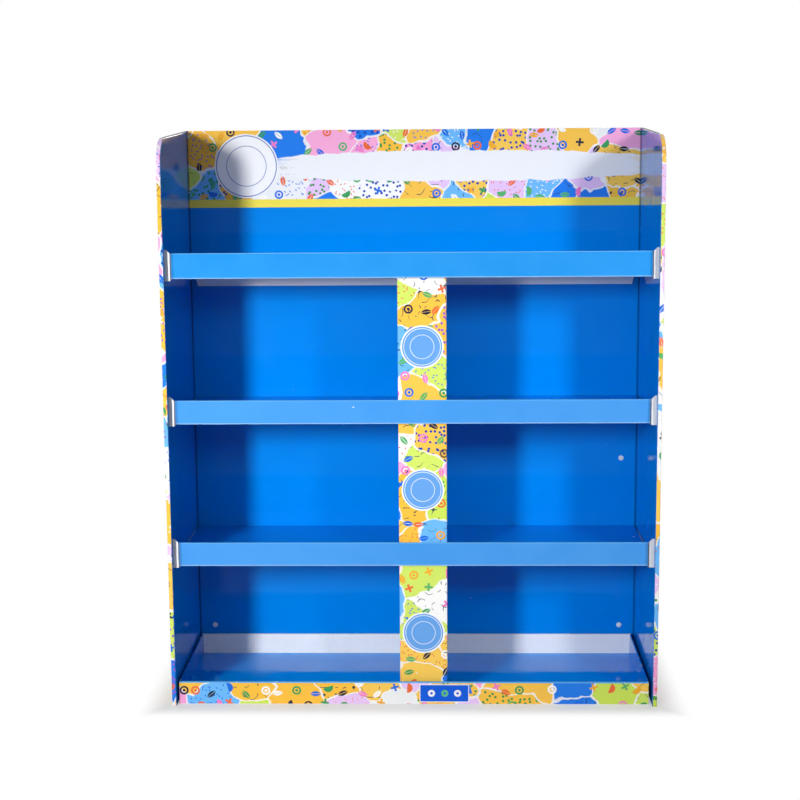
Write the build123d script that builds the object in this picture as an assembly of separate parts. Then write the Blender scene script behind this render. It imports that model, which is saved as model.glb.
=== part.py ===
from build123d import *
import math
import os

# Free-standing shelf display folded from corrugated board. Millimetres, +Z up, front towards -Y.
# The origin is at the middle of the footprint, on the floor.

# Board
ply = 3.0
fold_radius = 2.0
ply_slit = 0.6
seat_clearance = 0.2

# Overall sizes, measured inside the stand
inner_width = 1000.0
inner_depth = 362.0
back_height = 1197.0

# Side panels, folded double with a hollow between the plies
side_hollow = 3.0
side_rear_drop = 1.0
side_top_fall = 15.0
side_corner_radius = 60.0
flange_width = 60.0
flange_foot = 12.0
flange_head = 24.0
flange_bevel = 12.0

# Shelves
shelf_pitch = 300.0
shelf_side_gap = 2.5
lip_height = 49.0
top_lip_height = 51.5
lip_setback = 16.0
lip_end_gap = 13.0
ear_rise = 7.0
ear_drop = 5.0
ear_corner_radius = 4.0
ear_reach = 1.5
rear_flap_height = 49.0
rear_flap_end_gap = 3.5
rear_flap_bevel = 12.0

# Base tray, a little narrower than the stand and pushed to the left
tray_width = 989.0
tray_shift = -1.5
tray_lip_height = 48.0
tray_rear_gap = 2.4

# Columns, standing a little right of the middle
column_width = 100.0
column_depth = 160.0
column_setback = 30.0
column_shift = 21.5
column_glue_flap = 30.0

# Snap rivets through the back panel and the side panels' rear flanges
rivet_head_diameter = 12.0
rivet_head_thickness = 1.6
rivet_shank_diameter = 6.0
rivet_rear_diameter = 14.0
rivet_rear_thickness = 1.8
rivet_wall_inset = 34.0
low_rivet_height = 68.0
high_rivet_height = 459.0

# Places worked out from the sizes above
overall_depth = inner_depth + 2 * ply + seat_clearance + rivet_rear_thickness
y_front = -overall_depth / 2
y_back = y_front + inner_depth
y_back_rear = y_back + ply
y_flange = y_back_rear + seat_clearance
y_flange_rear = y_flange + ply
x_inner = inner_width / 2
side_thickness = 2 * ply + side_hollow
x_outer = x_inner + side_thickness
lip_thickness = 2 * ply + ply_slit
y_lip = y_front + lip_setback
y_lip_inner = y_lip + ply + ply_slit
y_lip_rear = y_lip + lip_thickness
lip_half = x_inner - lip_end_gap
side_top_rear = back_height - side_rear_drop
side_top_front = side_top_rear - side_top_fall
top_slope = math.atan2(side_top_fall, inner_depth)
rivet_x = x_inner - rivet_wall_inset
rivet_places = [(-rivet_x, low_rivet_height), (rivet_x, low_rivet_height), (rivet_x, high_rivet_height)]

# Height of each shelf's underside, and of its front lip above that
shelf_levels = {
    "lower_shelf": shelf_pitch,
    "middle_shelf": 2 * shelf_pitch,
    "top_shelf": 3 * shelf_pitch,
}
shelf_lips = {
    "lower_shelf": lip_height,
    "middle_shelf": lip_height,
    "top_shelf": top_lip_height,
}


def block(x, y, z):
    """Box between two corners, each axis given as a (low, high) pair."""
    size = [high - low for low, high in (x, y, z)]
    centre = [(high + low) / 2 for low, high in (x, y, z)]
    return Pos(*centre) * Box(*size)


def plate_xz(points, y):
    """Flat plate with an outline in the XZ plane, between two Y faces."""
    low, high = y
    face = make_face(Polyline([Vector(px, low, pz) for px, pz in points], close=True))
    return extrude(face, amount=high - low, dir=(0, 1, 0))


def along_x(edge):
    return edge.geom_type == GeomType.LINE and abs(edge.tangent_at(0.5).X) > 0.99


def long_edges_at(solid, y, z):
    """The long folds that run along X at one height and depth."""
    near = [e for e in solid.edges() if along_x(e)]
    near = [e for e in near if abs(e.center().Y - y) < 0.01 and abs(e.center().Z - z) < 0.01]
    return [e for e in near if e.length > ply]


def side_outline(inset):
    """Side panel outline in the YZ plane, drawn in from the front edge and the top by the inset."""
    front = y_front + inset
    rear = y_flange_rear
    top_front = side_top_front - inset / math.cos(top_slope) + inset * math.tan(top_slope)
    top_rear = top_front + (rear - front) * math.tan(top_slope)
    corners = [(front, 0), (rear, 0), (rear, top_rear), (front, top_front)]
    face = make_face(Polyline([Vector(0, y, z) for y, z in corners], close=True))
    corner = [v for v in face.vertices() if v.Y < front + 0.01 and v.Z > side_top_front / 2]
    return fillet(corner, side_corner_radius - inset)


def ear_slot(level, lip):
    """Slot in a side panel's inner ply that takes one lip ear."""
    low = level - ear_drop - seat_clearance
    high = level + lip + ear_rise + seat_clearance
    y = (y_lip_inner - seat_clearance, y_lip_rear + seat_clearance)
    return block((x_inner - ply, x_inner + ply + side_hollow / 2), y, (low, high))


def rivet_holes(x_sign):
    """Holes for the rivets on one side of the stand, through the back panel and the flange."""
    radius = rivet_shank_diameter / 2 + seat_clearance
    run = y_flange_rear - y_back
    middle = (y_back + y_flange_rear) / 2
    places = [(x, z) for x, z in rivet_places if x * x_sign > 0]
    return [Pos(x, middle, z) * Rot(90, 0, 0) * Cylinder(radius, 2 * run) for x, z in places]


def side_panel(x_sign):
    """One sheet folded double: inner ply, front spine, outer ply and rear flange."""
    plate = Pos(x_inner, 0, 0) * extrude(side_outline(0), amount=side_thickness, dir=(1, 0, 0))
    round_edges = [e for e in plate.edges() if e.geom_type == GeomType.CIRCLE]
    front_edges = [e for e in plate.edges().filter_by(Axis.Z) if e.center().Y < y_front + 0.01]
    plate = fillet(round_edges + front_edges, fold_radius)

    rear_edges = [e for e in plate.edges().filter_by(Axis.Z) if e.center().Y > y_flange]
    plate = fillet([e for e in rear_edges if e.center().X > x_inner + ply], fold_radius)
    hollow = (x_inner + ply, x_outer - ply)
    inside = Pos(hollow[0], 0, 0) * extrude(side_outline(ply), amount=side_hollow, dir=(1, 0, 0))
    arc_end = y_front + side_corner_radius
    open_top = block(hollow, (arc_end, y_flange_rear + ply), (side_top_front / 2, back_height + ply))
    seat_run = (y_back - seat_clearance, y_flange_rear + ply)
    back_seat = block((x_inner - ply, x_outer - ply), seat_run, (-ply, back_height + ply))
    panel = plate - inside - open_top - back_seat

    flange_top = side_top_rear - flange_head
    flange_inside = x_outer - flange_width
    flange = plate_xz(
        [
            (x_outer - ply, flange_foot),
            (flange_inside, flange_foot + flange_bevel),
            (flange_inside, flange_top - flange_bevel),
            (x_outer - ply, flange_top),
        ],
        (y_flange, y_flange_rear),
    )
    panel += flange
    panel -= [ear_slot(level, shelf_lips[name]) for name, level in shelf_levels.items()]
    panel = panel if x_sign > 0 else mirror(panel, Plane.YZ)
    return panel - rivet_holes(x_sign)


def back_panel():
    """Flat sheet that carries the header, held between the side panels' outer plies."""
    half = x_outer - ply - seat_clearance
    sheet = block((-half, half), (y_back, y_back_rear), (0, back_height))
    return sheet - rivet_holes(1) - rivet_holes(-1)


def rolled_lip(x, y, z, slit_from):
    """Front lip of two plies, rolled over at the top and open at the bottom of its slit."""
    lip = block(x, (y, y + lip_thickness), z)
    slit = block((x[0] - ply, x[1] + ply), (y + ply, y + ply + ply_slit), (slit_from, z[1] - ply))
    return lip - slit


def lip_ear(level, lip):
    """Unprinted end of the lip's inner ply: slants up to the wall and enters the slot there."""
    top = level + lip
    end = x_inner + ply + ear_reach
    outline = [
        (lip_half, top - ply),
        (x_inner - ply, top + ear_rise),
        (end, top + ear_rise),
        (end, level - ear_drop),
        (lip_half, level - ear_drop),
    ]
    ear = plate_xz(outline, (y_lip_inner, y_lip_rear))
    corners = [e for e in ear.edges().filter_by(Axis.Y) if e.center().Z < level]
    foot = [e for e in corners if e.center().X < x_inner]
    return fillet(foot, ear_corner_radius)


def shelf(level, lip):
    """One sheet: floor, rolled front lip with ears, and a rear flap folded down."""
    half = x_inner - shelf_side_gap
    top = level + lip
    body = block((-half, half), (y_lip_inner, y_back), (level, level + ply))
    body += rolled_lip((-lip_half, lip_half), y_lip, (level, top), level - ply)

    flap_half = x_inner - rear_flap_end_gap
    flap_foot = level + ply - rear_flap_height
    flap = plate_xz(
        [
            (-flap_half, level + ply),
            (flap_half, level + ply),
            (flap_half, level),
            (flap_half - rear_flap_bevel, flap_foot),
            (rear_flap_bevel - flap_half, flap_foot),
            (-flap_half, level),
        ],
        (y_back - ply, y_back),
    )
    body += flap
    folds = long_edges_at(body, y_lip, top) + long_edges_at(body, y_lip_rear, top)
    folds += long_edges_at(body, y_back, level + ply)
    body = fillet(folds, fold_radius)
    ear = lip_ear(level, lip)
    return body + ear + mirror(ear, Plane.YZ)


def base_tray():
    """One sheet: floor, rolled front lip, single side lips and a rear lip rolled inward."""
    x = (tray_shift - tray_width / 2, tray_shift + tray_width / 2)
    z = (0, tray_lip_height)
    y_rear = y_back - tray_rear_gap
    y_white = y_rear - lip_thickness
    floor = block(x, (y_lip_inner, y_rear), (0, ply))
    front = rolled_lip(x, y_lip, z, -ply)
    rear = rolled_lip(x, y_white, (ply, tray_lip_height), ply)
    white_foot = (y_white - ply, y_white + ply + ply_slit)
    rear -= block((x[0] - ply, x[1] + ply), white_foot, (0, ply + seat_clearance))
    tray = floor + front + rear
    folds = []
    for y in (y_lip, y_lip_rear, y_white, y_rear):
        folds += long_edges_at(tray, y, tray_lip_height)
    tray = fillet(folds, fold_radius)
    run = (y_lip_rear + ply_slit, y_white - ply_slit)
    for side in ((x[0], x[0] + ply), (x[1] - ply, x[1])):
        tray += block(side, run, z)
    return tray


def column(foot, head):
    """Rectangular tube folded from one sheet, with its glue flap inside the rear wall."""
    y = y_front + column_setback + column_depth / 2
    bore_width = column_width - 2 * ply
    bore_depth = column_depth - 2 * ply
    ring = RectangleRounded(column_width, column_depth, fold_radius) - Rectangle(bore_width, bore_depth)
    flap_middle = (column_glue_flap - bore_width) / 2
    ring += Pos(flap_middle, (bore_depth - ply) / 2) * Rectangle(column_glue_flap, ply)
    return Pos(column_shift, y, foot) * extrude(ring, amount=head - foot, dir=(0, 0, 1))


def snap_rivet(x, z):
    """Plastic rivet: domed head in front, shank through both sheets, clenched head behind."""
    head = extrude(Circle(rivet_head_diameter / 2), amount=rivet_head_thickness)
    head = fillet(head.faces().sort_by(Axis.Z)[-1].edges(), 0.6 * rivet_head_thickness)
    run = y_flange_rear - y_back
    shank = Pos(0, 0, -run / 2) * Cylinder(rivet_shank_diameter / 2, run)
    clench = extrude(Circle(rivet_rear_diameter / 2), amount=-rivet_rear_thickness)
    clench = fillet(clench.faces().sort_by(Axis.Z)[0].edges(), 0.6 * rivet_rear_thickness)
    rivet = head + shank + Pos(0, 0, -run) * clench
    return Pos(x, y_back, z) * Rot(90, 0, 0) * rivet


nodes = {
    "left_side_panel": side_panel(-1),
    "right_side_panel": side_panel(1),
    "back_panel": back_panel(),
    "base_tray": base_tray(),
}
for name, level in shelf_levels.items():
    nodes[name] = shelf(level, shelf_lips[name])

column_feet = {
    "lower_column": ply,
    "middle_column": shelf_levels["lower_shelf"] + ply,
    "upper_column": shelf_levels["middle_shelf"] + ply,
}
for (name, foot), head in zip(column_feet.items(), shelf_levels.values()):
    nodes[name] = column(foot, head)

nodes["snap_rivets"] = Compound(children=[snap_rivet(x, z) for x, z in rivet_places])

os.makedirs("parts", exist_ok=True)
for name, solid in nodes.items():
    export_step(solid, f"parts/{name}.step")
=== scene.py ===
import math

import bmesh
import bpy
from mathutils import Matrix, Vector


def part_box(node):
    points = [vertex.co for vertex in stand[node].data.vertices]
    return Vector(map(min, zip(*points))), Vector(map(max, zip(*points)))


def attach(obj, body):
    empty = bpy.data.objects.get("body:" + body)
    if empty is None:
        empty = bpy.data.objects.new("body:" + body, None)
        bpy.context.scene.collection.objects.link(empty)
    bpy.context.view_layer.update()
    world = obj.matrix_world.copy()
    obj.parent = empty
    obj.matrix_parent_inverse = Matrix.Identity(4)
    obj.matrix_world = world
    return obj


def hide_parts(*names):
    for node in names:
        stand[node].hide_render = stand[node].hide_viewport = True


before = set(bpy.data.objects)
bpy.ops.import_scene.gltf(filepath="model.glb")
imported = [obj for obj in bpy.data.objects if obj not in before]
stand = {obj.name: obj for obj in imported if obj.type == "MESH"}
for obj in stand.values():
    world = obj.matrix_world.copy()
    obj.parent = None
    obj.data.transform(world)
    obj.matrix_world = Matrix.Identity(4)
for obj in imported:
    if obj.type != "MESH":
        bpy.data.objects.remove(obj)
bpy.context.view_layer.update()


# Side panels. Each is one sheet of white-lined corrugated board, printed and film-laminated on one side
# and folded double: blue inside, patterned on the narrow front spine and outside. The cut top is left
# raw, and a flange folded in behind the back panel takes the rivets.

ply = 0.003
flute_pitch = 0.0064
fold_radius = 0.002
corner_radius = 0.060
side_low, side_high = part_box("right_side_panel")
wall_outer = side_high[0]
wall_inner = wall_outer - 3 * ply
front_plane = side_low[1]
flange_rear = side_high[1]
back_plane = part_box("back_panel")[0][1]
fold_wrap = 0.0025
spine_arc_end = front_plane + corner_radius
spine_arc_foot = 1.0825
side_corner_shade_reach = 0.009
print_bleed = 0.014


def feed(tree, value, socket):
    """Feeds a socket from another socket, or sets it to a plain number or colour."""
    if isinstance(value, bpy.types.NodeSocket):
        tree.links.new(value, socket)
    else:
        socket.default_value = value


def calc(tree, operation, *values):
    """One Math node."""
    node = tree.nodes.new("ShaderNodeMath")
    node.operation = operation
    for value, socket in zip(values, node.inputs):
        feed(tree, value, socket)
    return node.outputs["Value"]


def folded(tree, operation, values):
    """Joins several values by one operation, two at a time."""
    result, *others = values
    for value in others:
        result = calc(tree, operation, result, value)
    return result


def total(tree, *values):
    """The sum of several values."""
    return folded(tree, "ADD", values)


def largest(tree, *values):
    """The largest of several values."""
    return folded(tree, "MAXIMUM", values)


def times(tree, *values):
    """The product of several values; of masks, where all of them are on."""
    return folded(tree, "MULTIPLY", values)


def either(tree, *masks):
    """Where any of the masks is on."""
    return largest(tree, *masks)


def without(tree, mask):
    """Where the mask is off."""
    return calc(tree, "SUBTRACT", 1.0, mask)


def step(tree, value, off, on):
    """A mask that is 0 at the first limit and 1 at the second, with a smooth run between them."""
    node = tree.nodes.new("ShaderNodeMapRange")
    node.interpolation_type = "SMOOTHSTEP"
    feed(tree, value, node.inputs["Value"])
    feed(tree, off, node.inputs["From Min"])
    feed(tree, on, node.inputs["From Max"])
    return node.outputs["Result"]


def parts_of(tree, vector):
    """The three values of a vector or a colour."""
    node = tree.nodes.new("ShaderNodeSeparateXYZ")
    feed(tree, vector, node.inputs["Vector"])
    return node.outputs["X"], node.outputs["Y"], node.outputs["Z"]


def shader_group(name, inputs, outputs):
    """A node group with named sockets: gives its tree, what comes in and what goes out."""
    tree = bpy.data.node_groups.new(name, "ShaderNodeTree")
    for label, start in inputs.items():
        socket = tree.interface.new_socket(label, in_out="INPUT", socket_type="NodeSocketFloat")
        socket.default_value = start
    for label, kind in outputs.items():
        tree.interface.new_socket(label, in_out="OUTPUT", socket_type=kind)
    return tree, tree.nodes.new("NodeGroupInput").outputs, tree.nodes.new("NodeGroupOutput").inputs


def use_group(tree, group, **values):
    """Places a node group; each value goes to the socket of its name."""
    node = tree.nodes.new("ShaderNodeGroup")
    node.node_tree = group
    for name, value in values.items():
        feed(tree, value, node.inputs[name.capitalize()])
    return node.outputs


mask_kind = "NodeSocketFloat"
colour_kind = "NodeSocketColor"

# Which way the board faces: flat panels face along one axis, and a fold is where the surface faces none.
facing, _, result = shader_group(
    "board_facing",
    {},
    {name: mask_kind for name in ("Front", "Rear", "Up", "Down", "Side", "Fold")},
)
normal = facing.nodes.new("ShaderNodeNewGeometry").outputs["Normal"]
normal_x, normal_y, normal_z = parts_of(facing, normal)
size_x, size_y, size_z = [calc(facing, "ABSOLUTE", part) for part in (normal_x, normal_y, normal_z)]
feed(facing, step(facing, normal_y, -0.6, -0.8), result["Front"])
feed(facing, step(facing, normal_y, 0.6, 0.8), result["Rear"])
feed(facing, step(facing, normal_z, 0.6, 0.8), result["Up"])
feed(facing, step(facing, normal_z, -0.6, -0.8), result["Down"])
feed(facing, step(facing, size_x, 0.6, 0.8), result["Side"])
feed(facing, step(facing, largest(facing, size_x, size_y, size_z), 0.985, 0.9), result["Fold"])


def place_on_stand(tree):
    """The point's place in the stand's own frame, in metres."""
    return tree.nodes.new("ShaderNodeTexCoord").outputs["Object"]


def cloud(tree, vector, scale, detail=2.0):
    """Soft noise from 0 to 1."""
    node = tree.nodes.new("ShaderNodeTexNoise")
    feed(tree, vector, node.inputs["Vector"])
    node.inputs["Scale"].default_value = scale
    node.inputs["Detail"].default_value = detail
    return node.outputs[0]


def flute_wave(tree, run):
    """The wave of the flutes over a run across them, from -1 to 1."""
    return calc(tree, "SINE", calc(tree, "MULTIPLY", run, 2 * math.pi / flute_pitch))


# Flutes show through the liners as a faint washboard, and the sheet itself is never quite flat.
filmed_flute_depth = 0.000006
bare_flute_depth = 0.000028
sheet_warp = 0.0012
paper_grain = 0.000002
relief, given, result = shader_group(
    "board_relief",
    {"Flutes": filmed_flute_depth, "Warp": sheet_warp, "Grain": paper_grain},
    {"Height": mask_kind, "Across": mask_kind},
)
here = place_on_stand(relief)
x, y, _ = parts_of(relief, here)
side_on = use_group(relief, facing)["Side"]
across = total(relief, times(relief, x, without(relief, side_on)), times(relief, y, side_on))
uneven = step(relief, cloud(relief, here, 9.0, 0.0), 0.2, 0.7)
flutes = times(relief, flute_wave(relief, across), uneven, given["Flutes"])
long_warp = cloud(relief, here, 2.6, 0.0)
short_warp = calc(relief, "MULTIPLY", cloud(relief, here, 11.0, 0.0), 0.25)
warp = times(relief, total(relief, long_warp, short_warp), given["Warp"])
grain = times(relief, cloud(relief, here, 900.0, 0.0), given["Grain"])
feed(relief, total(relief, flutes, warp, grain), result["Height"])
feed(relief, across, result["Across"])


def blend(tree, factor, first, second):
    """Goes from the first colour to the second."""
    node = tree.nodes.new("ShaderNodeMix")
    node.data_type = "RGBA"
    feed(tree, factor, node.inputs[0])
    feed(tree, first, node.inputs[6])
    feed(tree, second, node.inputs[7])
    return node.outputs[2]


def ink(red, green, blue):
    """A colour in screen values from 0 to 255, as the shader's linear colour."""
    linear = []
    for screen in (red / 255, green / 255, blue / 255):
        linear.append(screen / 12.92 if screen < 0.04 else ((screen + 0.055) / 1.055) ** 2.4)
    return (*linear, 1.0)


# The unprinted liner is bleached paper: grey flute lines, in part painted washboard shade, cloudy patches,
# a few grey fibres and smudges.
line_strength = 0.05
liner_roughness = 0.8
liner, given, result = shader_group("white_liner", {"Lines": line_strength}, {"Colour": colour_kind})
here = place_on_stand(liner)
wave = flute_wave(liner, use_group(liner, relief)["Across"])
lines = times(liner, step(liner, wave, 0.1, 1.0), given["Lines"])
patches = calc(liner, "MULTIPLY", cloud(liner, here, 18.0), 0.08)
fibres = times(liner, step(liner, cloud(liner, here, 420.0, 1.0), 0.66, 0.74), 0.16)
smudges = times(liner, step(liner, cloud(liner, here, 4.5, 3.0), 0.5, 0.8), 0.06)
darkened = total(liner, lines, patches, fibres, smudges)
feed(liner, blend(liner, darkened, ink(249, 249, 248), ink(104, 106, 112)), result["Colour"])


def apart(tree, first, second):
    """How far one value is from another."""
    return calc(tree, "ABSOLUTE", calc(tree, "SUBTRACT", first, second))


# A cut across the sheet shows both liners with the wave of the medium, and painted shade darkens the
# hollows between them.
wave_height = 0.001
raw_edge, given, result = shader_group(
    "raw_edge", {"Along": 0.0, "Through": ply / 2}, {"Colour": colour_kind}
)
centre = calc(raw_edge, "MULTIPLY_ADD", flute_wave(raw_edge, given["Along"]), wave_height, ply / 2)
medium = step(raw_edge, apart(raw_edge, given["Through"], centre), 0.0006, 0.0003)
liners = step(raw_edge, apart(raw_edge, given["Through"], ply / 2), 0.0009, 0.0011)
paper = either(raw_edge, medium, liners)
feed(raw_edge, blend(raw_edge, paper, ink(92, 92, 94), ink(226, 227, 226)), result["Colour"])

# Film cracks white along sharp folds, and stray knocks leave small white specks elsewhere.
speck_amount = 0.3
wear, given, result = shader_group(
    "fold_wear", {"Cracks": 0.5, "Specks": speck_amount}, {"Mask": mask_kind}
)
here = place_on_stand(wear)
fold = use_group(wear, facing)["Fold"]
crack_limit = calc(wear, "SUBTRACT", 0.75, calc(wear, "MULTIPLY", given["Cracks"], 0.35))
crack_full = calc(wear, "ADD", crack_limit, 0.06)
cracks = times(wear, fold, step(wear, cloud(wear, here, 130.0), crack_limit, crack_full))
speck_limit = calc(wear, "SUBTRACT", 0.86, calc(wear, "MULTIPLY", given["Specks"], 0.08))
speck_full = calc(wear, "ADD", speck_limit, 0.03)
specks = step(wear, cloud(wear, here, 75.0, 1.0), speck_limit, speck_full)
feed(wear, either(wear, cracks, specks), result["Mask"])

# Painted shade: inside corners and the gaps between sheets get a dark line, its reach broken by noise.
painted_crease_shade, given, result = shader_group("painted_shade_line", {"Gap": 0.0, "Reach": 0.003}, {"Mask": mask_kind})
uneven_reach = calc(painted_crease_shade, "MULTIPLY", cloud(painted_crease_shade, place_on_stand(painted_crease_shade), 60.0, 1.0), 0.5)
run_out = calc(painted_crease_shade, "MULTIPLY", calc(painted_crease_shade, "SUBTRACT", 1.25, uneven_reach), given["Reach"])
full_shade = calc(painted_crease_shade, "MULTIPLY", run_out, 0.55)
feed(painted_crease_shade, step(painted_crease_shade, given["Gap"], run_out, full_shade), result["Mask"])

# Gloss film: mirror-like, with faint handling marks and rubbed patches that blur it.
film_refraction = 1.45
film_roughness = 0.06
film, given, result = shader_group("gloss_film", {"Smooth": film_roughness}, {"Roughness": mask_kind})
here = place_on_stand(film)
handled = times(film, step(film, cloud(film, here, 7.0, 3.0), 0.5, 0.75), 0.10)
rubbed = times(film, step(film, cloud(film, here, 55.0), 0.6, 0.8), 0.06)
feed(film, total(film, handled, rubbed, given["Smooth"]), result["Roughness"])

# Solid blue print, with the slight mottle of a large flat ink area.
blue, given, result = shader_group("blue_print", {"Mottle": 0.5}, {"Colour": colour_kind})
mottle = times(blue, cloud(blue, place_on_stand(blue), 24.0), given["Mottle"])
feed(blue, blend(blue, mottle, ink(0, 130, 224), ink(0, 138, 232)), result["Colour"])


def reach_of(tree, across, up):
    """Length of a step across and up."""
    squares = total(tree, calc(tree, "POWER", across, 2.0), calc(tree, "POWER", up, 2.0))
    return calc(tree, "SQRT", squares)


def vector_of(tree, x, y, z):
    """One vector from three values."""
    node = tree.nodes.new("ShaderNodeCombineXYZ")
    for value, socket in zip((x, y, z), node.inputs):
        feed(tree, value, socket)
    return node.outputs["Vector"]


def cells(tree, vector, scale, feature="F1", randomness=1.0):
    """Scattered cells, for patches and small motifs."""
    node = tree.nodes.new("ShaderNodeTexVoronoi")
    node.voronoi_dimensions = "2D"
    node.feature = feature
    feed(tree, vector, node.inputs["Vector"])
    node.inputs["Scale"].default_value = scale
    node.inputs["Randomness"].default_value = randomness
    return node


def shifted(tree, vector, scale, amount):
    """Moves a point about, so that straight borders turn into hand-cut ones."""
    noise = tree.nodes.new("ShaderNodeTexNoise")
    feed(tree, vector, noise.inputs["Vector"])
    noise.inputs["Scale"].default_value = scale
    node = tree.nodes.new("ShaderNodeVectorMath")
    node.operation = "MULTIPLY_ADD"
    feed(tree, noise.outputs["Color"], node.inputs[0])
    node.inputs[1].default_value = (amount, amount, 0.0)
    feed(tree, vector, node.inputs[2])
    return node.outputs["Vector"]


def turned_cell(tree, vector, scale, randomness):
    """A motif's own coordinates in its cell, turned by a random angle, and two random numbers."""
    cell = cells(tree, vector, scale, "F1", randomness)
    offset = tree.nodes.new("ShaderNodeVectorMath")
    offset.operation = "SUBTRACT"
    feed(tree, vector, offset.inputs[0])
    feed(tree, cell.outputs["Position"], offset.inputs[1])
    grown = tree.nodes.new("ShaderNodeVectorMath")
    grown.operation = "SCALE"
    feed(tree, offset.outputs["Vector"], grown.inputs[0])
    grown.inputs["Scale"].default_value = scale
    angle, pick, tint = parts_of(tree, cell.outputs["Color"])
    turn = tree.nodes.new("ShaderNodeVectorRotate")
    turn.rotation_type = "Z_AXIS"
    feed(tree, grown.outputs["Vector"], turn.inputs["Vector"])
    feed(tree, calc(tree, "MULTIPLY", angle, 40.0), turn.inputs["Angle"])
    u, v, _ = parts_of(tree, turn.outputs["Vector"])
    return u, v, pick, tint


def ink_choice(tree, pick, inks):
    """Takes one of several inks by a random number from 0 to 1."""
    node = tree.nodes.new("ShaderNodeValToRGB")
    node.color_ramp.interpolation = "CONSTANT"
    feed(tree, pick, node.inputs["Fac"])
    stops = node.color_ramp.elements
    while len(stops) < len(inks):
        stops.new(1.0)
    for index, colour in enumerate(inks):
        stops[index].position = index / len(inks)
        stops[index].color = colour
    return node.outputs["Color"]


# Patterned print: cut-paper patches in bright inks, each with its own filling of dots and seeds,
# under scattered leaves, rings, half moons and crosses. A layout number picks the part of the design.
patches_per_metre = 12.0
seeds_per_metre = 88.0
motifs_per_metre = 29.0
layout_shift = (0.737, 0.411)
leaf_share = 0.36
ring_share = 0.54
moon_share = 0.68
cross_share = 0.80
pattern, given, result = shader_group(
    "patch_pattern", {"Across": 0.0, "Up": 0.0, "Layout": 0.0}, {"Colour": colour_kind}
)
sheet_x = calc(pattern, "MULTIPLY_ADD", given["Layout"], layout_shift[0], given["Across"])
sheet_y = calc(pattern, "MULTIPLY_ADD", given["Layout"], layout_shift[1], given["Up"])
sheet = vector_of(pattern, sheet_x, sheet_y, 0.0)

patch_place = shifted(pattern, shifted(pattern, sheet, 13.0, 0.075), 55.0, 0.008)
patch = cells(pattern, patch_place, patches_per_metre)
patch_border = cells(pattern, patch_place, patches_per_metre, "DISTANCE_TO_EDGE")
patch_pick, filling_pick, filling_tint = parts_of(pattern, patch.outputs["Color"])
ground = ink_choice(
    pattern,
    patch_pick,
    [
        ink(253, 200, 82),
        ink(250, 250, 248),
        ink(208, 232, 96),
        ink(253, 166, 216),
        ink(253, 196, 70),
        ink(112, 188, 250),
        ink(247, 249, 248),
        ink(234, 202, 247),
        ink(253, 206, 92),
        ink(212, 234, 108),
        ink(40, 128, 236),
        ink(252, 176, 220),
        ink(252, 198, 76),
        ink(240, 242, 243),
    ],
)

# Filling of a patch: small dots or longer seeds.
u, v, _, _ = turned_cell(pattern, sheet, seeds_per_metre, 0.9)
stretch = calc(pattern, "MULTIPLY_ADD", step(pattern, filling_tint, 0.45, 0.5), 1.6, 1.0)
seed_reach = reach_of(pattern, u, calc(pattern, "MULTIPLY", v, stretch))
seeds = times(pattern, step(pattern, seed_reach, 0.27, 0.21), step(pattern, filling_pick, 0.44, 0.4))
seed_colour = ink_choice(
    pattern,
    filling_tint,
    [
        ink(34, 74, 178),
        ink(70, 152, 84),
        ink(150, 96, 208),
        ink(250, 250, 250),
        ink(238, 120, 84),
        ink(30, 110, 228),
    ],
)
printed = blend(pattern, seeds, ground, seed_colour)

# Thin pen contours in some of the patches.
contour = apart(pattern, cloud(pattern, sheet, 46.0, 0.0), 0.5)
strokes = step(pattern, cloud(pattern, sheet, 70.0, 0.0), 0.5, 0.54)
drawn_patches = step(pattern, filling_pick, 0.7, 0.72)
contours = times(pattern, step(pattern, contour, 0.022, 0.012), drawn_patches, strokes)
printed = blend(pattern, contours, printed, ink(52, 58, 84))

# White paper edge round each patch.
paper_edge = step(pattern, patch_border.outputs["Distance"], 0.03, 0.018)
printed = blend(pattern, times(pattern, paper_edge, 0.85), printed, ink(248, 248, 246))

print_edge = 0.0003


def above(tree, value, limit, soft=print_edge):
    """A mask that is on where the value is past a limit."""
    return step(tree, value, limit - soft, limit + soft)


def below(tree, value, limit, soft=print_edge):
    """A mask that is on where the value falls short of a limit."""
    return step(tree, value, limit + soft, limit - soft)


# Larger motifs, one to a cell, each kind with its share of the cells.
u, v, pick, motif_tint = turned_cell(pattern, sheet, motifs_per_metre, 0.7)
size_u = calc(pattern, "ABSOLUTE", u)
size_v = calc(pattern, "ABSOLUTE", v)
reach = reach_of(pattern, u, v)
leaf_half = calc(pattern, "MULTIPLY_ADD", calc(pattern, "POWER", u, 2.0), -1.35, 0.17)
leaf_room = calc(pattern, "SUBTRACT", leaf_half, size_v)
leaf = times(pattern, step(pattern, leaf_room, 0.0, 0.02), step(pattern, size_v, 0.008, 0.02))
ring = step(pattern, apart(pattern, reach, 0.22), 0.065, 0.045)
ring = either(pattern, ring, step(pattern, reach, 0.1, 0.08))
half_moon = times(pattern, step(pattern, reach, 0.31, 0.29), step(pattern, v, -0.04, -0.02))
arm = step(pattern, calc(pattern, "MINIMUM", size_u, size_v), 0.075, 0.055)
cross = times(pattern, arm, step(pattern, largest(pattern, size_u, size_v), 0.26, 0.24))
motifs = times(pattern, leaf, step(pattern, pick, leaf_share, leaf_share - 0.001))
for motif, start, end in (
    (ring, leaf_share, ring_share),
    (half_moon, ring_share, moon_share),
    (cross, moon_share, cross_share),
):
    chosen = times(pattern, above(pattern, pick, start, 0.0005), below(pattern, pick, end, 0.0005))
    motifs = either(pattern, motifs, times(pattern, motif, chosen))
motif_colour = ink_choice(
    pattern,
    motif_tint,
    [
        ink(240, 112, 66),
        ink(34, 112, 226),
        ink(64, 160, 96),
        ink(244, 130, 202),
        ink(46, 50, 70),
        ink(252, 252, 250),
        ink(246, 176, 52),
        ink(92, 180, 110),
    ],
)
feed(pattern, blend(pattern, motifs, printed, motif_colour), result["Colour"])


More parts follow.
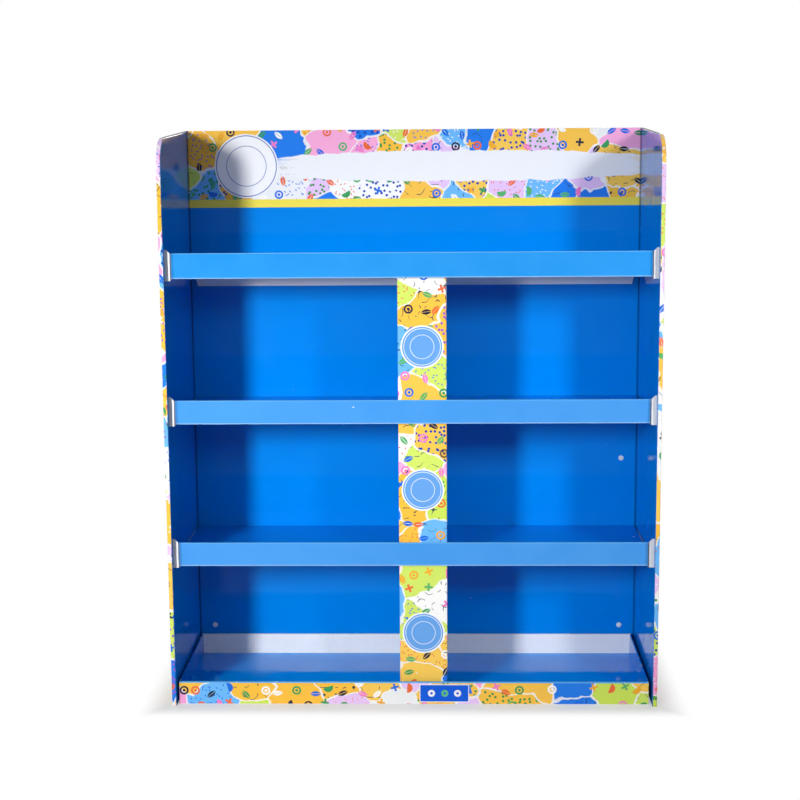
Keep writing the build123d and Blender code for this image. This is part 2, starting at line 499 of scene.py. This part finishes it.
def new_surface(name, refraction=1.5):
    """A new material: itself, its node tree and its shader."""
    material = bpy.data.materials.new(name)
    material.use_nodes = True
    shader = material.node_tree.nodes["Principled BSDF"]
    shader.inputs["IOR"].default_value = refraction
    return material, material.node_tree, shader


def finish_board(
    tree, shader, print_colour, print_mask, edge_mask, edge_along, edge_through, cracks, shade=0.0
):
    """Lays print, white liner, raw edges and painted shade over one sheet, with wear, gloss and relief to
    match.
    """
    worn = use_group(tree, wear, cracks=cracks, specks=speck_amount)["Mask"]
    bare = use_group(tree, liner, lines=line_strength)["Colour"]
    cut = use_group(tree, raw_edge, along=edge_along, through=edge_through)["Colour"]
    colour = blend(tree, print_mask, bare, print_colour)
    colour = blend(tree, edge_mask, colour, cut)
    colour = blend(tree, times(tree, worn, print_mask), colour, ink(240, 241, 243))
    # Painted shade: dark navy laid over the sheet where the shade mask is on.
    colour = blend(tree, shade, colour, ink(0, 22, 64))
    feed(tree, colour, shader.inputs["Base Color"])
    filmed = times(tree, print_mask, without(tree, edge_mask), without(tree, worn))
    gloss = use_group(tree, film, smooth=film_roughness)["Roughness"]
    matt = calc(tree, "MULTIPLY", without(tree, filmed), liner_roughness)
    feed(tree, total(tree, times(tree, gloss, filmed), matt), shader.inputs["Roughness"])
    deeper = calc(tree, "MULTIPLY", without(tree, filmed), bare_flute_depth - filmed_flute_depth)
    flutes = calc(tree, "ADD", deeper, filmed_flute_depth)
    height = use_group(tree, relief, flutes=flutes, warp=sheet_warp, grain=paper_grain)["Height"]
    bump = tree.nodes.new("ShaderNodeBump")
    bump.inputs["Distance"].default_value = 1.0
    feed(tree, height, bump.inputs["Height"])
    feed(tree, bump.outputs["Normal"], shader.inputs["Normal"])


def dress(node, material):
    """Puts a material in the slots of a CAD node's object."""
    for slot in stand[node].material_slots:
        slot.material = material


side_board, tree, shader = new_surface("side_board", film_refraction)
x, y, z = parts_of(tree, place_on_stand(tree))
face = use_group(tree, facing)
from_middle = calc(tree, "ABSOLUTE", x)
inside = times(tree, face["Side"], below(tree, from_middle, wall_inner + ply / 2))
past_fold = above(tree, from_middle, wall_outer - fold_radius)
outside = times(tree, face["Side"], past_fold)
outer_folds = times(tree, face["Fold"], past_fold)
spine_run = below(tree, y, front_plane + fold_wrap)
arc_run = times(tree, below(tree, y, spine_arc_end), above(tree, z, spine_arc_foot, 0.0025))
spine = times(tree, either(tree, spine_run, arc_run), without(tree, face["Down"]))
flange = times(tree, face["Rear"], above(tree, y, flange_rear - print_edge))
wrapped = calc(tree, "ADD", x, y)
side_pattern = use_group(tree, pattern, across=wrapped, up=z, layout=2.0)["Colour"]
blue_inside = use_group(tree, blue, mottle=0.5)["Colour"]
bleed = above(tree, from_middle, wall_outer - print_bleed)
flange_print = blend(tree, bleed, ink(236, 238, 242), side_pattern)
print_colour = blend(tree, inside, side_pattern, blue_inside)
print_colour = blend(tree, flange, print_colour, flange_print)
# Painted shade: a dark line on the inside faces next to the back panel.
to_back = calc(tree, "SUBTRACT", back_plane, y)
corner_shade = use_group(tree, painted_crease_shade, gap=to_back, reach=side_corner_shade_reach)["Mask"]
finish_board(
    tree,
    shader,
    print_colour,
    print_mask=either(tree, inside, outside, spine, flange, outer_folds),
    edge_mask=times(tree, face["Up"], without(tree, spine)),
    edge_along=y,
    edge_through=calc(tree, "PINGPONG", calc(tree, "SUBTRACT", from_middle, wall_inner), ply),
    cracks=0.45,
    shade=times(tree, corner_shade, inside, 0.55),
)
dress("left_side_panel", side_board)
dress("right_side_panel", side_board)


# Back panel. One flat sheet, plain white behind and printed in front: blue, with a patterned header
# above a yellow band. The header carries a brushed white banner and a round badge with ring lines.

header_foot = 1.046
band_foot = 1.028
badge_place = (-0.370, 1.119)
badge_radius = 0.0705
badge_rings = [(0.0665, 0.0014), (0.0440, 0.0009)]
banner_middle = (0.1025, 1.117)
banner_half = (0.375, 0.033)
back_corner_shade_reach = 0.0026


def distance_in_front(tree, x, z, place):
    """Distance from a place on a panel, seen from the front."""
    return reach_of(tree, calc(tree, "SUBTRACT", x, place[0]), calc(tree, "SUBTRACT", z, place[1]))


def ring_lines(tree, distance, rings):
    """Thin printed circles, each with its radius and half its width."""
    lines = []
    for radius, width in rings:
        lines.append(step(tree, apart(tree, distance, radius), width, 0.6 * width))
    return either(tree, *lines)


back_board, tree, shader = new_surface("back_board", film_refraction)
x, y, z = parts_of(tree, place_on_stand(tree))
face = use_group(tree, facing)
header = use_group(tree, pattern, across=x, up=z, layout=16.0)["Colour"]

brush_run = vector_of(tree, calc(tree, "MULTIPLY", x, 5.0), calc(tree, "MULTIPLY", z, 190.0), 0.0)
streaks = cloud(tree, brush_run, 1.0)
ragged = cloud(tree, vector_of(tree, calc(tree, "MULTIPLY", x, 22.0), 0.0, 0.0), 1.0)
along = calc(tree, "DIVIDE", apart(tree, x, banner_middle[0]), banner_half[0])
upward = calc(tree, "DIVIDE", apart(tree, z, banner_middle[1]), banner_half[1])
end_room = calc(tree, "SUBTRACT", 1.27, calc(tree, "MULTIPLY_ADD", streaks, 0.42, along))
taper = calc(tree, "MULTIPLY", calc(tree, "POWER", along, 3.0), 0.35)
edge_line = total(tree, calc(tree, "MULTIPLY", ragged, 0.5), upward, taper)
full_height = step(tree, calc(tree, "SUBTRACT", 1.3, edge_line), 0.0, 0.08)
banner = times(tree, step(tree, end_room, 0.0, 0.03), full_height)
thin_paint = times(tree, step(tree, end_room, -0.16, -0.02), full_height, 0.8)
header = blend(tree, either(tree, banner, thin_paint), header, ink(243, 245, 248))

from_badge = distance_in_front(tree, x, z, badge_place)
header = blend(tree, below(tree, from_badge, badge_radius), header, ink(250, 251, 253))
header = blend(tree, ring_lines(tree, from_badge, badge_rings), header, ink(112, 132, 190))

print_colour = use_group(tree, blue, mottle=0.5)["Colour"]
print_colour = blend(tree, above(tree, z, band_foot), print_colour, ink(244, 228, 88))
print_colour = blend(tree, above(tree, z, header_foot), print_colour, header)
# Painted shade: a dark line along the front's corners next to the side walls.
to_wall = calc(tree, "SUBTRACT", wall_inner, calc(tree, "ABSOLUTE", x))
corner_shade = use_group(tree, painted_crease_shade, gap=to_wall, reach=back_corner_shade_reach)["Mask"]
finish_board(
    tree,
    shader,
    print_colour,
    print_mask=face["Front"],
    edge_mask=without(tree, either(tree, face["Front"], face["Rear"])),
    edge_along=x,
    edge_through=calc(tree, "SUBTRACT", y, back_plane),
    cracks=0.5,
    shade=times(tree, corner_shade, face["Front"], 0.6),
)
dress("back_panel", back_board)


# Base tray. One sheet folded up on all sides: patterned front lip rolled to two plies, blue floor and
# side lips, and a rear lip rolled inward so that its bare liner faces the front.

tray_low, tray_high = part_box("base_tray")
tray_middle = (tray_low[0] + tray_high[0]) / 2
tray_half = (tray_high[0] - tray_low[0]) / 2
ply_slit = 0.0006
face_margin = 0.0008
print_wrap = 0.0011
roll_depth = 0.0025
lip_thickness = 2 * ply + ply_slit
lip_front_face = tray_low[1]
lip_rear_face = lip_front_face + lip_thickness
tray_rear_face = tray_high[1] - lip_thickness
tray_lip_top = tray_high[2]
label_middle = (0.0645, 0.0232)
label_half = (0.0505, 0.0180)
label_border = 0.0015
label_marks = [(-0.027, ink(246, 246, 244)), (0.001, ink(104, 200, 126)), (0.028, ink(246, 246, 244))]
mark_radius = 0.0075
mark_hole = 0.0027

tray_board, tree, shader = new_surface("tray_board", film_refraction)
here = place_on_stand(tree)
x, y, z = parts_of(tree, here)
face = use_group(tree, facing)
from_tray_middle = apart(tree, x, tray_middle)
front_lip = below(tree, y, lip_rear_face + face_margin)
rear_lip = above(tree, y, tray_rear_face - face_margin)
either_lip = either(tree, front_lip, rear_lip)
lip_face = times(tree, front_lip, below(tree, y, lip_front_face + print_wrap))
lip_face = times(tree, lip_face, below(tree, z, tray_lip_top - roll_depth))
lip_roll = times(tree, front_lip, without(tree, face["Side"]), without(tree, face["Down"]))
side_inner = times(tree, face["Side"], without(tree, either_lip))
side_inner = times(tree, side_inner, below(tree, from_tray_middle, tray_half - ply / 2))
on_top = above(tree, z, tray_lip_top - face_margin)
side_top = times(tree, face["Up"], on_top, without(tree, either_lip))
side_chips = times(tree, side_top, step(tree, cloud(tree, here, 45.0, 1.0), 0.6, 0.64))
floor_top = times(tree, face["Up"], without(tree, rear_lip), below(tree, z, ply + print_edge))

print_colour = use_group(tree, blue, mottle=0.5)["Colour"]
floor_blue = blend(tree, cloud(tree, here, 24.0), ink(0, 154, 244), ink(0, 162, 250))
print_colour = blend(tree, floor_top, print_colour, floor_blue)
# Painted highlight, partly a whitened fold: the front lip's rolled top turns a lighter blue.
painted_lip_highlight_and_shade = times(tree, lip_roll, without(tree, face["Rear"]))
print_colour = blend(tree, painted_lip_highlight_and_shade, print_colour, ink(96, 178, 242))

tray_pattern = use_group(tree, pattern, across=x, up=z, layout=7.0)["Colour"]
past_side = calc(tree, "SUBTRACT", apart(tree, x, label_middle[0]), label_half[0])
past_top = calc(tree, "SUBTRACT", apart(tree, z, label_middle[1]), label_half[1])
past_label = largest(tree, past_side, past_top)
tray_pattern = blend(tree, below(tree, past_label, label_border), tray_pattern, ink(248, 248, 246))
label_blue = blend(tree, cloud(tree, here, 60.0), ink(16, 88, 216), ink(26, 100, 228))
tray_pattern = blend(tree, below(tree, past_label, 0.0), tray_pattern, label_blue)
for mark_shift, mark_ink in label_marks:
    from_mark = distance_in_front(tree, x, z, (label_middle[0] + mark_shift, label_middle[1]))
    mark = times(tree, below(tree, from_mark, mark_radius), above(tree, from_mark, mark_hole))
    tray_pattern = blend(tree, mark, tray_pattern, mark_ink)
print_colour = blend(tree, lip_face, print_colour, tray_pattern)

lip_ends = times(tree, face["Side"], either_lip)
along_sides = without(tree, lip_ends)
lip_through = calc(tree, "PINGPONG", calc(tree, "SUBTRACT", y, lip_front_face), ply)
side_through = calc(tree, "SUBTRACT", tray_half, from_tray_middle)
finish_board(
    tree,
    shader,
    print_colour,
    print_mask=either(tree, floor_top, side_inner, lip_roll, side_top),
    edge_mask=either(tree, side_chips, lip_ends),
    edge_along=total(tree, times(tree, z, lip_ends), times(tree, y, along_sides)),
    edge_through=total(
        tree, times(tree, lip_through, lip_ends), times(tree, side_through, along_sides)
    ),
    cracks=0.3,
)
dress("base_tray", tray_board)


# Shelves. Each is one sheet: blue floor, front lip rolled over to two plies, and a rear flap folded down
# that shows its bare liner. The unprinted ears at the lip's ends push into slots in the side panels.

shelf_pitch = 0.300
lip_end_gap = 0.013
lip_end = wall_inner - lip_end_gap
lip_foot_height = 0.0018
flap_front = back_plane - ply
middle_lip_top = 0.65
floor_knock = (0.485, 0.067)
floor_knock_half = 0.0023
ear_gap_shade_reach = 0.004
lip_end_shade_reach = 0.006

shelf_board, tree, shader = new_surface("shelf_board", film_refraction)
here = place_on_stand(tree)
x, y, z = parts_of(tree, here)
face = use_group(tree, facing)
from_middle = calc(tree, "ABSOLUTE", x)
on_lip = below(tree, y, lip_rear_face + face_margin)
off_lip = without(tree, on_lip)
ear = times(tree, above(tree, from_middle, lip_end), on_lip)
off_ear = without(tree, ear)
lip_skin = times(tree, on_lip, off_ear, without(tree, face["Down"]), without(tree, face["Side"]))
lip_back = times(tree, on_lip, face["Rear"], off_ear)
floor_top = times(tree, face["Up"], off_lip)
rear_zone = above(tree, y, flap_front - print_edge)
rear_roll = times(tree, rear_zone, either(tree, face["Rear"], face["Fold"]))

print_colour = use_group(tree, blue, mottle=0.4)["Colour"]
lip_cloud = cloud(tree, here, 16.0)
# The lips' blue is lighter on the lower shelves than on the top one, set by height.
lip_low = blend(tree, lip_cloud, ink(66, 150, 229), ink(80, 159, 236))
lip_high = blend(tree, lip_cloud, ink(34, 146, 230), ink(50, 156, 238))
lip_tint = blend(tree, step(tree, z, middle_lip_top, 3 * shelf_pitch), lip_low, lip_high)
print_colour = blend(tree, lip_skin, print_colour, lip_tint)
# A pale blue line along the bottom edge of each lip's front.
above_foot = calc(tree, "MODULO", z, shelf_pitch)
lip_foot = times(tree, lip_skin, face["Front"], below(tree, above_foot, lip_foot_height, 0.0006))
print_colour = blend(tree, times(tree, lip_foot, 0.6), print_colour, ink(176, 214, 250))
# Painted highlight, partly a whitened fold: the lip's rolled top is a lighter blue.
roll_highlight_and_whitening = times(tree, lip_skin, either(tree, face["Up"], face["Fold"]))
print_colour = blend(tree, roll_highlight_and_whitening, print_colour, ink(104, 182, 240))
off_knock = largest(tree, apart(tree, x, floor_knock[0]), apart(tree, y, floor_knock[1]))
lowest_floor = below(tree, z, 1.5 * shelf_pitch, 0.005)
knock = times(tree, floor_top, below(tree, off_knock, floor_knock_half, 0.0007), lowest_floor)
print_colour = blend(tree, knock, print_colour, ink(240, 242, 245))

sheet_ends = times(tree, face["Side"], without(tree, rear_roll))
ear_edges = times(tree, ear, without(tree, either(tree, face["Front"], face["Rear"])))
bottom_cut = times(tree, face["Down"], on_lip)
# Painted shadow: a dark line on each ear's front next to the lip's end.
past_lip = calc(tree, "SUBTRACT", from_middle, lip_end)
ear_gap_shadow = use_group(tree, painted_crease_shade, gap=past_lip, reach=ear_gap_shade_reach)["Mask"]
# Painted shade: the lip's front darkens towards its ends.
before_end = calc(tree, "SUBTRACT", lip_end, from_middle)
painted_lip_highlight_and_shade = use_group(tree, painted_crease_shade, gap=before_end, reach=lip_end_shade_reach)["Mask"]
ear_shade = times(tree, ear, face["Front"], ear_gap_shadow, 0.9)
lip_shade = times(tree, lip_skin, painted_lip_highlight_and_shade, 0.3)
# Painted shade: the floor's cut ends facing the side walls, behind the lip, are darkened.
floor_shade = times(tree, face["Side"], off_lip, 0.8)
finish_board(
    tree,
    shader,
    print_colour,
    print_mask=either(tree, lip_skin, floor_top, rear_roll, lip_back),
    edge_mask=either(tree, sheet_ends, ear_edges, bottom_cut),
    edge_along=calc(tree, "ADD", x, z),
    edge_through=calc(tree, "PINGPONG", calc(tree, "SUBTRACT", y, lip_front_face), ply),
    cracks=0.05,
    shade=either(tree, ear_shade, lip_shade, floor_shade),
)
for name in ("lower_shelf", "middle_shelf", "top_shelf"):
    dress(name, shelf_board)


# Columns. Each is a tube folded from one printed sheet and glued inside its rear wall, standing between
# two floors. A round blue label with ring lines is printed on its front.

column_low, column_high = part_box("upper_column")
column_centre = [(low + high) / 2 for low, high in zip(column_low, column_high)]
column_half = [(high - low) / 2 for low, high in zip(column_low, column_high)]
label_radius = 0.0412
label_rim = 0.003
label_rings = [(0.0376, 0.0008), (0.0245, 0.0007)]


def column_board(name, label_height, layout):
    """Patterned outside with a round label, bare liner inside, cut edges at the ends."""
    material, tree, shader = new_surface(name, film_refraction)
    x, y, z = parts_of(tree, place_on_stand(tree))
    face = use_group(tree, facing)
    wrapped = calc(tree, "ADD", x, y)
    colour = use_group(tree, pattern, across=wrapped, up=z, layout=layout)["Colour"]
    from_label = distance_in_front(tree, x, z, (column_centre[0], label_height))
    on_front = below(tree, y, column_low[1] + fold_wrap)
    rim = times(tree, on_front, below(tree, from_label, label_radius + label_rim))
    colour = blend(tree, rim, colour, ink(250, 250, 250))
    label = times(tree, on_front, below(tree, from_label, label_radius))
    colour = blend(tree, label, colour, ink(106, 166, 234))
    rings = times(tree, on_front, ring_lines(tree, from_label, label_rings))
    colour = blend(tree, rings, colour, ink(236, 244, 252))
    under_side = calc(tree, "SUBTRACT", column_half[0], apart(tree, x, column_centre[0]))
    under_front = calc(tree, "SUBTRACT", column_half[1], apart(tree, y, column_centre[1]))
    depth_in_board = calc(tree, "MINIMUM", under_side, under_front)
    ends = either(tree, face["Up"], face["Down"])
    finish_board(
        tree,
        shader,
        colour,
        print_mask=times(tree, below(tree, depth_in_board, ply / 2), without(tree, ends)),
        edge_mask=ends,
        edge_along=wrapped,
        edge_through=depth_in_board,
        cracks=0.25,
    )
    return material


dress("upper_column", column_board("upper_column_board", label_height=0.757, layout=11.0))
dress("middle_column", column_board("middle_column_board", label_height=0.458, layout=14.0))
dress("lower_column", column_board("lower_column_board", label_height=0.151, layout=21.0))


# Snap rivets. Small white nylon rivets, a pin pushed into a split socket, with a rounded flange in front
# and a flat head behind. They hold the back panel to the side panels' flanges.

rivet_inset = 0.034
rivet_reach = wall_inner - rivet_inset
low_rivets = 0.068
high_rivet = 0.459
rivet_places = [(-rivet_reach, low_rivets), (rivet_reach, low_rivets), (rivet_reach, high_rivet)]
rivet_profile = [
    (0.0000, -0.00125),
    (0.0018, -0.00125),
    (0.0021, -0.00105),
    (0.0022, -0.00065),
    (0.0027, -0.00065),
    (0.0029, -0.00140),
    (0.0036, -0.00160),
    (0.0048, -0.00135),
    (0.0056, -0.00090),
    (0.0060, -0.00035),
    (0.0060, 0.00000),
    (0.0030, 0.00000),
    (0.0030, 0.00620),
    (0.0068, 0.00620),
    (0.0070, 0.00665),
    (0.0066, 0.00745),
    (0.0050, 0.00800),
    (0.0026, 0.00800),
    (0.0022, 0.00740),
    (0.0000, 0.00740),
]
rivet_sides = 40
crisp_angle = 40


def piece_from(name, shape):
    """A new object in the scene, from a built shape."""
    mesh = bpy.data.meshes.new(name)
    shape.to_mesh(mesh)
    shape.free()
    piece = bpy.data.objects.new(name, mesh)
    bpy.context.scene.collection.objects.link(piece)
    return piece


shape = bmesh.new()
for rivet_x, rivet_z in rivet_places:
    rings = []
    for radius, depth in rivet_profile:
        if radius == 0.0:
            rings.append([shape.verts.new((rivet_x, back_plane + depth, rivet_z))])
            continue
        ring = []
        for index in range(rivet_sides):
            turn = 2 * math.pi * index / rivet_sides
            across = rivet_x + radius * math.cos(turn)
            up = rivet_z + radius * math.sin(turn)
            ring.append(shape.verts.new((across, back_plane + depth, up)))
        rings.append(ring)
    for inner, outer in zip(rings, rings[1:]):
        for index in range(rivet_sides):
            following = (index + 1) % rivet_sides
            corners = [inner[index % len(inner)], inner[following % len(inner)]]
            corners += [outer[following % len(outer)], outer[index % len(outer)]]
            shape.faces.new(dict.fromkeys(corners))
bmesh.ops.recalc_face_normals(shape, faces=shape.faces)
rivets = piece_from("snap_rivets_moulded", shape)
rivets.data.shade_smooth()
rivets.modifiers.new("crisp_steps", "EDGE_SPLIT").split_angle = math.radians(crisp_angle)

nylon, tree, shader = new_surface("rivet_nylon")
here = place_on_stand(tree)
tint = blend(tree, cloud(tree, here, 260.0, 3.0), ink(236, 238, 240), ink(222, 226, 230))
feed(tree, tint, shader.inputs["Base Color"])
satin = calc(tree, "MULTIPLY_ADD", cloud(tree, here, 500.0), 0.2, 0.3)
feed(tree, satin, shader.inputs["Roughness"])
bump = tree.nodes.new("ShaderNodeBump")
bump.inputs["Distance"].default_value = 0.00005
feed(tree, cloud(tree, here, 1500.0), bump.inputs["Height"])
feed(tree, bump.outputs["Normal"], shader.inputs["Normal"])
rivets.data.materials.append(nylon)
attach(rivets, "root")
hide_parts("snap_rivets")


# Floor, light and camera. A pale studio floor that runs out to white, two softboxes in front of the stand
# with the stronger one on the left, a weak one behind it, and a long lens at the height of the stand's top.

floor_half = 12.0
floor_pale = (0.86, 0.86, 0.86, 1.0)
floor_in_gloss = (0.25, 0.25, 0.25, 1.0)
white = (1.0, 1.0, 1.0, 1.0)
shadow_rim = 0.07
shadow_lift = 0.4
room_light = 0.25
dim_room = 0.1
focal_length = 74.49
sensor_width = 36.0
camera_place = (0.0696, -3.5141, 1.1892)
camera_pan = 1.6043
camera_tilt = -9.1637
camera_roll = -0.4449

shape = bmesh.new()
bmesh.ops.create_grid(shape, x_segments=2, y_segments=2, size=floor_half)
floor = piece_from("studio_floor", shape)

floor_paint, tree, shader = new_surface("studio_floor_paint")
shader.inputs["Roughness"].default_value = 0.7
shader.inputs["Specular IOR Level"].default_value = 0.2
x, y, _ = parts_of(tree, place_on_stand(tree))
beside = calc(tree, "SUBTRACT", calc(tree, "ABSOLUTE", x), wall_outer)
before = calc(tree, "SUBTRACT", calc(tree, "ABSOLUTE", y), -front_plane)
clear_of_stand = step(tree, largest(tree, beside, before), 0.0, shadow_rim)
path = tree.nodes.new("ShaderNodeLightPath").outputs
paint = blend(tree, path["Is Glossy Ray"], floor_pale, floor_in_gloss)
feed(tree, paint, shader.inputs["Base Color"])
glow = tree.nodes.new("ShaderNodeEmission")
glow.inputs["Strength"].default_value = 1.0
lift = calc(tree, "MULTIPLY_ADD", clear_of_stand, 1.0 - shadow_lift, shadow_lift)
mixed = tree.nodes.new("ShaderNodeMixShader")
feed(tree, times(tree, lift, path["Is Camera Ray"]), mixed.inputs[0])
feed(tree, shader.outputs["BSDF"], mixed.inputs[1])
feed(tree, glow.outputs["Emission"], mixed.inputs[2])
feed(tree, mixed.outputs["Shader"], tree.nodes["Material Output"].inputs["Surface"])
floor.data.materials.append(floor_paint)

world = bpy.data.worlds.new("studio")
bpy.context.scene.world = world
world.use_nodes = True
tree = world.node_tree
path = tree.nodes.new("ShaderNodeLightPath").outputs
mirrored = either(tree, path["Is Glossy Ray"], path["Is Transmission Ray"])
_, depth, _ = parts_of(tree, tree.nodes.new("ShaderNodeTexCoord").outputs["Generated"])
room = calc(tree, "MULTIPLY_ADD", step(tree, depth, -0.5, 0.3), 1.0 - dim_room, dim_room)
level = calc(tree, "MULTIPLY_ADD", mirrored, calc(tree, "SUBTRACT", room, room_light), room_light)
backdrop = tree.nodes["Background"]
backdrop.inputs["Color"].default_value = white
feed(tree, either(tree, path["Is Camera Ray"], level), backdrop.inputs["Strength"])


def softbox(name, place, aim, width, height, spread, power):
    """An upright area lamp with a grid that narrows its spread, turned towards a point."""
    lamp = bpy.data.lights.new(name, "AREA")
    lamp.shape = "RECTANGLE"
    lamp.size = width
    lamp.size_y = height
    lamp.spread = math.radians(spread)
    lamp.energy = power
    fitting = bpy.data.objects.new(name, lamp)
    fitting.location = place
    fitting.rotation_mode = "QUATERNION"
    fitting.rotation_quaternion = (Vector(aim) - Vector(place)).to_track_quat("-Z", "Y")
    bpy.context.scene.collection.objects.link(fitting)


softbox(
    "key_softbox",
    place=(-1.76, -3.7, 1.46),
    aim=(-0.40, 0.0, 0.62),
    width=0.38,
    height=0.6,
    spread=44.0,
    power=9.6,
)
softbox(
    "fill_softbox",
    place=(1.82, -3.22, 1.8),
    aim=(0.60, 0.0, 0.78),
    width=0.4,
    height=0.55,
    spread=32.0,
    power=2.6,
)
softbox(
    "rear_softbox",
    place=(0.6, 4.4, 1.1),
    aim=(0.0, 0.2, 0.6),
    width=1.2,
    height=1.0,
    spread=40.0,
    power=3.4,
)

lens = bpy.data.cameras.new("camera")
lens.sensor_width = sensor_width
lens.lens = focal_length
camera = bpy.data.objects.new("camera", lens)
panned = Matrix.Rotation(math.radians(camera_pan), 4, "Z")
tilted = Matrix.Rotation(math.radians(90.0 + camera_tilt), 4, "X")
rolled = Matrix.Rotation(math.radians(camera_roll), 4, "Z")
camera.matrix_world = Matrix.Translation(camera_place) @ panned @ tilted @ rolled
bpy.context.scene.collection.objects.link(camera)
bpy.context.scene.camera = camera
bpy.context.scene.view_settings.view_transform = "Standard"

bpy.context.view_layer.update()
